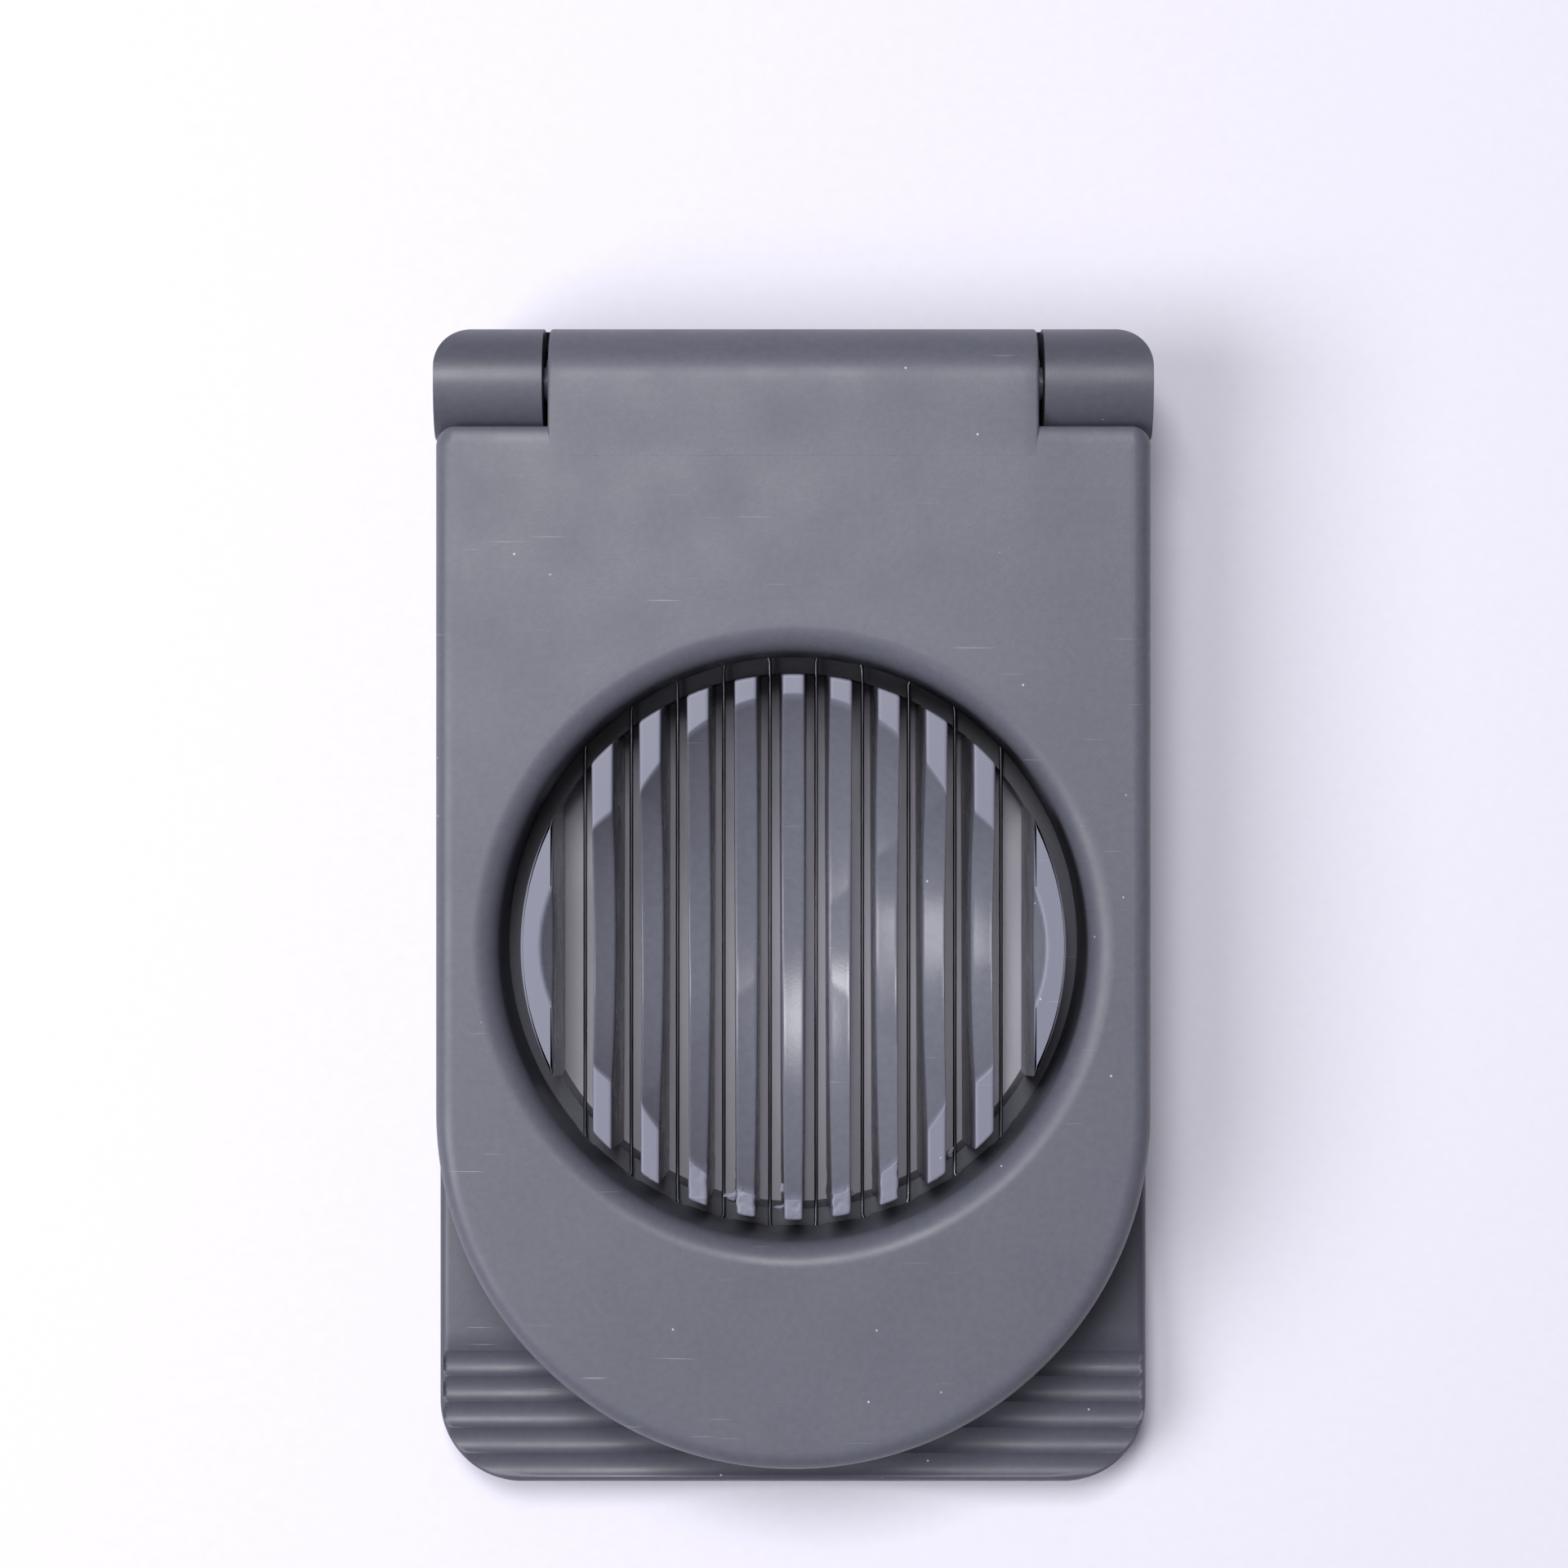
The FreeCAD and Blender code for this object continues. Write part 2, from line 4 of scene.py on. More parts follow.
import bmesh
import bpy
import numpy as np
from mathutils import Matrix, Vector

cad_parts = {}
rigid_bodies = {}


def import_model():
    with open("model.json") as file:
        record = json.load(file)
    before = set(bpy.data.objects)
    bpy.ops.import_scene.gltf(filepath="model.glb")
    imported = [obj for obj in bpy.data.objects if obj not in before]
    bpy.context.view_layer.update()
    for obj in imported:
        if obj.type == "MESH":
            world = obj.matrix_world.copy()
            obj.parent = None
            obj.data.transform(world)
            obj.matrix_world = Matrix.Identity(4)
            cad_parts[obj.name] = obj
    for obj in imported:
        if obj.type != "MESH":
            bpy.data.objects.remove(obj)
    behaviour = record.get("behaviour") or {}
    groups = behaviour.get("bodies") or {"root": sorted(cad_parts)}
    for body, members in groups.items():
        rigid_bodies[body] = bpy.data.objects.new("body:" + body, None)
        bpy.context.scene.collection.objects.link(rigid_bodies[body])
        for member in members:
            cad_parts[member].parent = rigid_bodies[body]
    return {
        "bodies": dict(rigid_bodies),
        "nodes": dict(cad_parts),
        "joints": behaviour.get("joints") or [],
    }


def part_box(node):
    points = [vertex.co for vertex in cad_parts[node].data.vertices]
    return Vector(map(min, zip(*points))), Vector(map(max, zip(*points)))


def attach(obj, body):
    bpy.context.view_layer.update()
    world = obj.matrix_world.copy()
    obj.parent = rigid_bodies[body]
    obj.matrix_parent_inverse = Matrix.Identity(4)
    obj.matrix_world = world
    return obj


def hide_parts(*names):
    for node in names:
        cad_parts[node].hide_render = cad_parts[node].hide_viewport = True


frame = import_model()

# Egg slicer: a grey moulded base with a cradle of upright bars, and a hinged lid that carries the
# cutting wires.  Metres, +X to the right, +Y towards the hinge, +Z up; the lid is drawn closed.

MM = 0.001

for thing in list(bpy.data.objects):
    if thing not in list(frame["nodes"].values()) + list(frame["bodies"].values()):
        bpy.data.objects.remove(thing)
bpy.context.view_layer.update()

# ---------------------------------------------------------------- places read from the frame
base_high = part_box("base_skirt")[1]
deck_low, deck_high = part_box("base_deck")
ring_low, ring_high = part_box("cradle_ring")
knuckle_low, knuckle_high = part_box("hinge_knuckle_right")
plate_low, plate_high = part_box("lid_plate")
lid_wall_low, lid_wall_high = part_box("lid_skirt")
hole_low, hole_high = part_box("lid_hole_wall")
barrel_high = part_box("lid_hinge_barrel")[1]
rest_low, rest_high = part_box("side_rest_right")
bar_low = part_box("cradle_bar_5")[0]
rear_wall_low, rear_wall_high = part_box("base_rear_wall")
hinge = frame["joints"][0]["pos_m"]

half_width = base_high.x
half_length = base_high.y
deck_top = deck_high.z
skirt_top = deck_low.z
wall = rear_wall_high.y - rear_wall_low.y
axis_y, axis_z = hinge[1], hinge[2]
knuckle_radius = knuckle_high.z - axis_z
knuckle_front = knuckle_low.y
knuckle_inner = knuckle_low.x
cradle_y = (ring_low.y + ring_high.y) / 2
ring_outer = (ring_high.x - ring_low.x) / 2
cradle_foot = ring_outer - wall
cradle_rim_z = rest_high.z
bar_bottom = bar_low.z
rest_inner = rest_low.x
lid_top = plate_high.z
lid_under = plate_low.z
lid_half_width = plate_high.x
lid_front = plate_low.y
lid_bottom = lid_wall_low.z
shoulder_y = lid_wall_high.y
barrel_half = barrel_high.x
hole_outer = (hole_high.x - hole_low.x) / 2

# ---------------------------------------------------------------- sizes of edges and patterns
front_corner = 10 * MM
deck_edge = 1.2 * MM
groove_count = 5
groove_pitch = 3.12 * MM
groove_depth = 0.6 * MM
groove_front = 0.5 * MM
cradle_taper = 0.6 * MM
cradle_rim = cradle_foot - cradle_taper
bar_count = 9
bar_pitch = 5.6 * MM
bar_rear_width = 2.6 * MM
bar_front_width = 2.1 * MM
bar_draft = math.tan(math.radians(1))
bar_edge = 0.28 * MM
bar_end_round = 0.3 * MM
hollow_width = 45.6 * MM
hollow_depth = 12.5 * MM
hollow_end_land = 2.3 * MM
hole_roll = 3.0 * MM
lip_radius = hole_outer - hole_roll
hole_draft = 0.2 * MM
lid_edge = 2.1 * MM
shoulder_corner = 2.3 * MM
shoulder_drop = 0.6 * MM
shoulder_gap = 0.18 * MM
soft_corner = 0.3 * MM
wire_radius = 0.225 * MM
wire_z = 10.5 * MM
strand_count = bar_count + 1
peg_radius = 1.2 * MM
peg_wall_gap = 0.65 * MM
peg_offset = 0.9 * MM
wire_seat = 0.04 * MM
own_peg_turn = math.radians(300)
wire_notch_top = wire_z + 0.27 * MM
wire_notch_half_width = 1.0 * MM
barrel_run_in = 2.5 * MM
torn_half_width = 13 * MM
torn_fade = 3 * MM
torn_depth = 0.16 * MM
torn_ripple = 0.1 * MM

# Lacing of one wire: the strands hooked on each peg, numbered from 0 at the outermost
front_lacing = ([0, 1], [2, 3], [4])
rear_lacing = ([0], [1, 2], [3, 4])

hollow_radius = (hollow_width ** 2 / 4 + hollow_depth ** 2) / (2 * hollow_depth)
hollow_z = cradle_rim_z + hollow_radius - hollow_depth
rim_half_width = hollow_width / 2
rim_half_length = cradle_rim - hollow_end_land
hollow_half_length = rim_half_length * hollow_radius / rim_half_width


# ---------------------------------------------------------------- mesh making
same_point = 0.001 * MM


def smooth_step(value):
    """0 below 0, 1 above 1 and 3t^2 - 2t^3 between."""
    t = np.clip(value, 0, 1)
    return t * t * (3 - 2 * t)


def spaced(*stops):
    """Numbers from stop to stop: each (start, end, count) run in turn, shared ends given once."""
    runs = [np.linspace(start, end, count, endpoint=False) for start, end, count in stops]
    return np.concatenate(runs + [[stops[-1][1]]])


def quads(rows, columns, around_rows, around_columns):
    """Corner numbers of the quads between neighbouring rows and columns of a grid."""
    row = np.arange(rows if around_rows else rows - 1)[:, None]
    column = np.arange(columns if around_columns else columns - 1)[None, :]
    next_row = (row + 1) % rows
    next_column = (column + 1) % columns
    corners = (row * columns + column, next_row * columns + column,
               next_row * columns + next_column, row * columns + next_column)
    return np.stack(np.broadcast_arrays(*corners), axis=-1).reshape(-1, 4)


def patch(x, y, z, around_rows=False, around_columns=False):
    """One grid of points and the two flags that say whether it closes on itself."""
    return np.stack(np.broadcast_arrays(x, y, z), axis=-1), around_rows, around_columns


def mirrored(patches):
    """The same patches on the other side of the plane x = 0."""
    return [(points * np.array([-1, 1, 1]), rows, columns) for points, rows, columns in patches]


def make_piece(name, patches, material, body, nodes=(), sharp_deg=40, attributes=None):
    """A mesh piece from patches: points that coincide are joined, and every face turns outwards."""
    points = []
    faces = []
    first = 0
    for grid, around_rows, around_columns in patches:
        rows, columns = grid.shape[:2]
        faces.append(quads(rows, columns, around_rows, around_columns) + first)
        points.append(grid.reshape(-1, 3))
        first += rows * columns
    points = np.concatenate(points)
    faces = np.concatenate(faces)
    mesh = bpy.data.meshes.new(name)
    mesh.vertices.add(len(points))
    mesh.vertices.foreach_set("co", points.astype(np.float32).ravel())
    mesh.loops.add(faces.size)
    mesh.loops.foreach_set("vertex_index", faces.astype(np.int32).ravel())
    mesh.polygons.add(len(faces))
    mesh.polygons.foreach_set("loop_start", np.arange(0, faces.size, 4, dtype=np.int32))
    mesh.update(calc_edges=True)
    for key, function in (attributes or {}).items():
        layer = mesh.attributes.new(key, "FLOAT", "POINT")
        layer.data.foreach_set("value", function(points).astype(np.float32))
    shell = bmesh.new()
    shell.from_mesh(mesh)
    bmesh.ops.remove_doubles(shell, verts=shell.verts, dist=same_point)
    bmesh.ops.dissolve_degenerate(shell, edges=shell.edges, dist=same_point / 2)
    bmesh.ops.recalc_face_normals(shell, faces=shell.faces)
    shell.to_mesh(mesh)
    shell.free()
    mesh.shade_smooth()
    mesh.set_sharp_from_angle(angle=math.radians(sharp_deg))
    piece = bpy.data.objects.new(name, mesh)
    bpy.context.scene.collection.objects.link(piece)
    mesh.materials.append(material)
    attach(piece, body)
    if nodes:
        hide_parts(*nodes)
    return piece


# ---------------------------------------------------------------- materials
def linear(hex_colour):
    """An sRGB hex colour as linear red, green, blue and alpha."""
    values = [int(hex_colour[i:i + 2], 16) / 255 for i in (1, 3, 5)]
    return [v / 12.92 if v <= 0.04045 else ((v + 0.055) / 1.055) ** 2.4 for v in values] + [1]


def add_node(tree, kind, inputs=None, **settings):
    """Add one node, set its settings, and give each input a value or a link."""
    node = tree.nodes.new(kind)
    for key, value in settings.items():
        setattr(node, key, value)
    for key, value in (inputs or {}).items():
        if isinstance(value, bpy.types.NodeSocket):
            tree.links.new(value, node.inputs[key])
        else:
            node.inputs[key].default_value = value
    return node


def per(millimetres):
    """Texture scale whose pattern repeats about once in this many millimetres."""
    return 1 / (millimetres * MM)


def new_material(name):
    """An empty node material, its tree, its surface shader and its object coordinates."""
    material = bpy.data.materials.new(name)
    material.use_nodes = True
    tree = material.node_tree
    tree.nodes.clear()
    output = add_node(tree, "ShaderNodeOutputMaterial")
    shader = add_node(tree, "ShaderNodeBsdfPrincipled")
    tree.links.new(shader.outputs["BSDF"], output.inputs["Surface"])
    place = add_node(tree, "ShaderNodeTexCoord").outputs["Object"]
    return material, tree, shader, place


def moulded_polypropylene(name, grey, light_grey, roughness, pale_rims):
    """Injection-moulded polypropylene, pigmented grey, from a lightly spark-eroded mould.

    To the eye: a satin skin with a faint even grain, slow flow clouds in the pigment, gloss that
    drifts a little from place to place, a few hairline scuffs and settled dust.  Where the bars
    were left as cut, the skin is paler and duller.
    """
    material, tree, shader, place = new_material(name)
    cloud = add_node(tree, "ShaderNodeTexNoise", {"Vector": place, "Scale": per(24), "Detail": 3})
    colour = add_node(tree, "ShaderNodeMix", {0: cloud.outputs[0], 6: linear(grey),
                                              7: linear(light_grey)}, data_type="RGBA")
    # The real mottle is finer than 0.3 mm; drawn at 0.9 mm so that it shows.
    mottle = add_node(tree, "ShaderNodeTexNoise", {"Vector": place, "Scale": per(0.9), "Detail": 4})
    mottled = add_node(tree, "ShaderNodeMapRange", {0: mottle.outputs[0], 1: 0.3, 2: 0.7,
                                                    3: 0.94, 4: 1.06})
    colour = add_node(tree, "ShaderNodeHueSaturation", {"Value": mottled.outputs[0],
                                                        "Color": colour.outputs[2]})
    pale = add_node(tree, "ShaderNodeAttribute", attribute_name="pale")
    if pale_rims:
        colour = add_node(tree, "ShaderNodeMix", {0: pale.outputs["Fac"], 6: colour.outputs[0],
                                                  7: linear(pale_rims)}, data_type="RGBA")
        colour_out = colour.outputs[2]
    else:
        colour_out = colour.outputs[0]

    # Dust: grains about a quarter of a millimetre across, one in every few square centimetres.
    grain_cell = add_node(tree, "ShaderNodeTexVoronoi", {"Vector": place, "Scale": per(4.5)})
    dust = add_node(tree, "ShaderNodeMapRange", {0: grain_cell.outputs["Distance"], 1: 0.036,
                                                 2: 0.02, 3: 0, 4: 0.8})
    # Hairline scuffs: noise drawn out forty to one across the piece, only its peaks kept.
    turned = add_node(tree, "ShaderNodeMapping", {"Vector": place,
                                                  "Rotation": (0, 0, math.radians(38)),
                                                  "Scale": (per(11), per(0.28), per(11))})
    streak = add_node(tree, "ShaderNodeTexNoise", {"Vector": turned.outputs[0], "Scale": 1,
                                                   "Detail": 1})
    scuff = add_node(tree, "ShaderNodeMapRange", {0: streak.outputs[0], 1: 0.76, 2: 0.82,
                                                  3: 0, 4: 0.22})
    marks = add_node(tree, "ShaderNodeMath", {0: dust.outputs[0], 1: scuff.outputs[0]},
                     operation="MAXIMUM")
    marked = add_node(tree, "ShaderNodeMix", {0: marks.outputs[0], 6: colour_out,
                                              7: linear("#c9cbd2")}, data_type="RGBA")
    tree.links.new(marked.outputs[2], shader.inputs["Base Color"])

    # Gloss drifts over about 9 mm, and dulls on the cut rims.
    drift = add_node(tree, "ShaderNodeTexNoise", {"Vector": place, "Scale": per(9), "Detail": 2})
    gloss = add_node(tree, "ShaderNodeMapRange", {0: drift.outputs[0], 1: 0.3, 2: 0.7,
                                                  3: roughness - 0.04, 4: roughness + 0.05})
    dulled = add_node(tree, "ShaderNodeMath", {0: pale.outputs["Fac"], 1: 0.18,
                                               2: gloss.outputs[0]}, operation="MULTIPLY_ADD")
    tree.links.new(dulled.outputs[0], shader.inputs["Roughness"])
    shader.inputs["IOR"].default_value = 1.49

    # Spark-eroded grain of 0.15 mm, drawn at 0.35 mm so that it shows, on slow sink waves.
    grain = add_node(tree, "ShaderNodeTexNoise", {"Vector": place, "Scale": per(0.35), "Detail": 2})
    waves = add_node(tree, "ShaderNodeTexNoise", {"Vector": place, "Scale": per(15), "Detail": 1})
    sunk = add_node(tree, "ShaderNodeBump", {"Height": waves.outputs[0], "Distance": 0.03 * MM,
                                             "Strength": 1})
    skin = add_node(tree, "ShaderNodeBump", {"Height": grain.outputs[0], "Distance": 0.008 * MM,
                                             "Strength": 1, "Normal": sunk.outputs[0]})
    tree.links.new(skin.outputs[0], shader.inputs["Normal"])
    return material


def drawn_stainless_wire():
    """Hard-drawn stainless steel wire: a dull grey metal with fine die lines along its length."""
    material, tree, shader, place = new_material("drawn stainless steel wire")
    along = add_node(tree, "ShaderNodeMapping", {"Vector": place,
                                                 "Scale": (per(0.05), per(6), per(0.05))})
    lines = add_node(tree, "ShaderNodeTexNoise", {"Vector": along.outputs[0], "Scale": 1,
                                                  "Detail": 3})
    tone = add_node(tree, "ShaderNodeMix", {0: lines.outputs[0], 6: linear("#5a5b62"),
                                            7: linear("#84868d")}, data_type="RGBA")
    tree.links.new(tone.outputs[2], shader.inputs["Base Color"])
    shader.inputs["Metallic"].default_value = 1
    gloss = add_node(tree, "ShaderNodeMapRange", {0: lines.outputs[0], 3: 0.2, 4: 0.38})
    tree.links.new(gloss.outputs[0], shader.inputs["Roughness"])
    die_lines = add_node(tree, "ShaderNodeBump", {"Height": lines.outputs[0],
                                                  "Distance": 0.004 * MM})
    tree.links.new(die_lines.outputs[0], shader.inputs["Normal"])
    return material


def studio_paper():
    """Pale coated paper under the slicer: matt, with a barely visible tooth."""
    material, tree, shader, place = new_material("pale coated paper")
    tooth = add_node(tree, "ShaderNodeTexNoise", {"Vector": place, "Scale": per(1.5), "Detail": 4})
    tone = add_node(tree, "ShaderNodeMix", {0: tooth.outputs[0], 6: linear("#dedbe9"),
                                            7: linear("#e4e1ee")}, data_type="RGBA")
    tree.links.new(tone.outputs[2], shader.inputs["Base Color"])
    shader.inputs["Roughness"].default_value = 0.75
    bump = add_node(tree, "ShaderNodeBump", {"Height": tooth.outputs[0], "Distance": 0.02 * MM})
    tree.links.new(bump.outputs[0], shader.inputs["Normal"])
    return material


base_plastic = moulded_polypropylene("moulded grey polypropylene, base", "#4a4b57", "#535460", 0.42,
                                     None)
# The cradle is moulded with the base, but its grey is painted lighter than the base's: painted
# highlight standing in for the sheen on the bars.
bar_plastic_painted_highlight = moulded_polypropylene("polished grey polypropylene, cradle", "#62636f", "#6b6c79", 0.28,
                                    "#767789")
lid_plastic = moulded_polypropylene("moulded grey polypropylene, lid", "#555662", "#5d5e6b", 0.44,
                                    None)
wire_steel = drawn_stainless_wire()


# ---------------------------------------------------------------- base
def quarter(count):
    """Angles from 0 to a right angle."""
    return np.linspace(0, math.pi / 2, count)


def deck_rows(ring_radius):
    """Y of each deck row: round the front edge, over each groove, past the ring, to the rear.

    Groove rows are spaced evenly by angle round the groove's own circle, and rows beside the ring
    evenly by angle round the ring, so that both curves are met by whole rows.
    """
    edge = -half_length + deck_edge * (1 - np.cos(quarter(7)[:-1] * 0.45))
    turn = np.linspace(-1, 1, 13)[:-1]
    starts = -half_length + groove_front + groove_pitch * (np.arange(groove_count) + 0.5)
    grooves = (starts[:, None] + groove_pitch / 2 * np.sin(turn * math.pi / 2)[None, :]).ravel()
    grip_end = starts[-1] + groove_pitch / 2
    plain = np.linspace(grip_end, cradle_y - ring_radius, 8)[:-1]
    beside_ring = cradle_y - ring_radius * np.cos(np.linspace(0, math.pi, 97))
    behind = np.linspace(cradle_y + ring_radius, knuckle_front, 8)[1:]
    rear = np.linspace(knuckle_front, rear_wall_low.y, 5)
    return np.concatenate([edge, grooves, plain, beside_ring, behind, rear]), len(rear)


def groove_height(y):
    """Height of the grooved surface over a line across the deck: circles cut down from the deck."""
    radius = (groove_pitch ** 2 / 4 + groove_depth ** 2) / (2 * groove_depth)
    grip_start = -half_length + groove_front
    inside = (y > grip_start) & (y < grip_start + groove_count * groove_pitch)
    offset = (y - grip_start) % groove_pitch - groove_pitch / 2
    cut = deck_top + radius - groove_depth - np.sqrt(np.maximum(radius ** 2 - offset ** 2, 0))
    return np.where(inside, np.minimum(cut, deck_top), deck_top)


def base_deck_piece():
    """The deck and the ring wall in one closed skin.

    Each row runs at its own y from the middle or the ring out to the edge.  Its height is the deck,
    less the grooves, less the drop of a quarter circle within one edge radius of the outline.
    """
    def plan(ring_radius):
        y, rear_count = deck_rows(ring_radius)
        from_corner = np.minimum(y + half_length - front_corner, 0)
        turn_in = np.sqrt(np.maximum(front_corner ** 2 - from_corner ** 2, 0))
        outer = half_width - front_corner + turn_in
        outer[-rear_count:] = knuckle_inner
        inner = np.sqrt(np.maximum(ring_radius ** 2 - (y - cradle_y) ** 2, 0))
        edge_room = np.minimum(deck_edge, (outer - inner) * 0.4)
        share = np.linspace(0, 1, 15)[:-1]
        flat = inner[:, None] + (outer - edge_room - inner)[:, None] * share
        edge = (outer - edge_room)[:, None] + edge_room[:, None] * np.sin(quarter(8))[None, :]
        across = np.concatenate([flat, edge], axis=1)
        return across, y[:, None] + 0 * across

    x, y = plan(cradle_foot)
    past_corner_x = np.maximum(x - (half_width - front_corner), 0)
    past_corner_y = np.maximum(-half_length + front_corner - y, 0)
    in_corner = (past_corner_x > 0) & (past_corner_y > 0)
    to_corner = front_corner - np.hypot(past_corner_x, past_corner_y)
    to_sides = np.minimum(half_width - x, y + half_length)
    distance = np.maximum(np.where(in_corner, to_corner, to_sides), 0)
    lean = np.maximum(deck_edge - distance, 0)
    rounded = deck_top - deck_edge + np.sqrt(np.maximum(deck_edge ** 2 - lean ** 2, 0))
    z = np.minimum(rounded, np.where(half_width - x > groove_front, groove_height(y), deck_top))
    under_x, under_y = plan(ring_outer)
    in_ring = np.abs(y[:, 0] - cradle_y) <= cradle_foot * 1.0001
    top = patch(x, y, z)
    under = patch(under_x, under_y, skirt_top)

    def between(cut):
        """The upright strip from the top skin's edge down to the underside's."""
        upper = (x[cut], y[cut], z[cut])
        lower = (under_x[cut], under_y[cut], np.full_like(z[cut], skirt_top))
        return patch(*[np.stack([a, b]) for a, b in zip(upper, lower)])

    ring_x = np.stack([x[in_ring, 0], x[in_ring, 0], under_x[in_ring, 0], under_x[in_ring, 0]])
    ring_y = np.stack([y[in_ring, 0], y[in_ring, 0], under_y[in_ring, 0], under_y[in_ring, 0]])
    ring_z = np.array([deck_top, 0, 0, skirt_top])[:, None] + np.zeros_like(ring_x)
    half = [top, under, between(np.s_[:, -1]), between(np.s_[0, :]), between(np.s_[-1, :]),
            patch(ring_x, ring_y, ring_z)]
    return make_piece("base_deck_moulding", half + mirrored(half), base_plastic, "base",
                      ["base_deck", "cradle_ring"], sharp_deg=50)


# ---------------------------------------------------------------- cradle
def hollow_height(x, y):
    """Underside of the egg space: the lowest of the rim and two ovals, along Y and along X."""
    def oval(across, along):
        under = 1 - (across / hollow_radius) ** 2 - (along / hollow_half_length) ** 2
        return hollow_z - hollow_radius * np.sqrt(np.maximum(under, 0))

    return np.minimum(cradle_rim_z, np.minimum(oval(x, y - cradle_y), oval(y - cradle_y, x)))


def rim_reach(x):
    """How far from the middle the hollow's rim lies, along Y, on the line at x."""
    lengthways = rim_half_length * np.sqrt(np.maximum(1 - (x / rim_half_width) ** 2, 0))
    crossways = rim_half_width * np.sqrt(np.maximum(1 - (x / rim_half_length) ** 2, 0))
    return np.maximum(lengthways, crossways)


def envelope_radius(z):
    """Radius of the cradle's outside: upright to the deck, then tapering in to the rim."""
    return cradle_foot - cradle_taper * np.clip((z - deck_top) / (cradle_rim_z - deck_top), 0, 1)


def ripple(x, y, z):
    """A small fixed roughness, -1 to 1: sines of unlike wavelengths, each bending the next."""
    a = np.sin(x / (0.37 * MM) + 2.1 * np.sin(y / (0.61 * MM)))
    b = np.sin(y / (0.29 * MM) + 1.7 * np.sin(z / (0.43 * MM)) + 1.3 * a)
    return 0.6 * b + 0.4 * np.sin(z / (0.33 * MM) + 1.9 * b)


def torn_front(x_middle):
    """How torn a bar's front end is, 0 to 1: full on the middle bars, where the runner broke off."""
    return smooth_step((torn_half_width - abs(x_middle)) / torn_fade)


